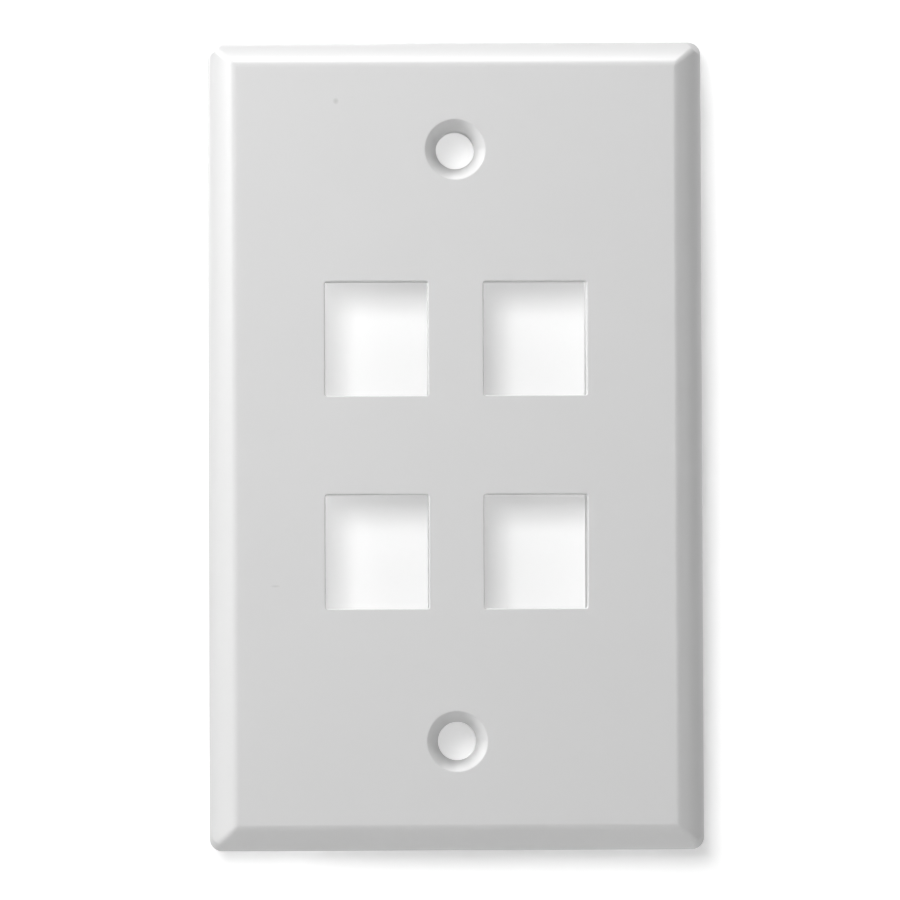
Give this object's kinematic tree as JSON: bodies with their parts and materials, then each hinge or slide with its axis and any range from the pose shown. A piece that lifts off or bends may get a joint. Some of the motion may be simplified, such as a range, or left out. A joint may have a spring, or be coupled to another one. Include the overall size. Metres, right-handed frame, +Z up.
{
  "type": "keystone faceplate",
  "caption": "Single-gang keystone wall plate with square snap-in ports in a grid, countersunk screw holes and a wide mitred bevel.",
  "frame": {"origin": "middle of the rear rim plane, halfway between the screw holes, where the plate meets the wall", "axes": "+Z up the wall, +X to the right as seen from the room, +Y into the wall; the face looks along -Y"},
  "size_m": [0.0698, 0.0099, 0.1142],
  "materials": {
    "abs_white": "satin moulded ABS, cool white"
  },
  "bodies": {
    "root": {"faceplate": "abs_white"}
  },
  "joints": []
}
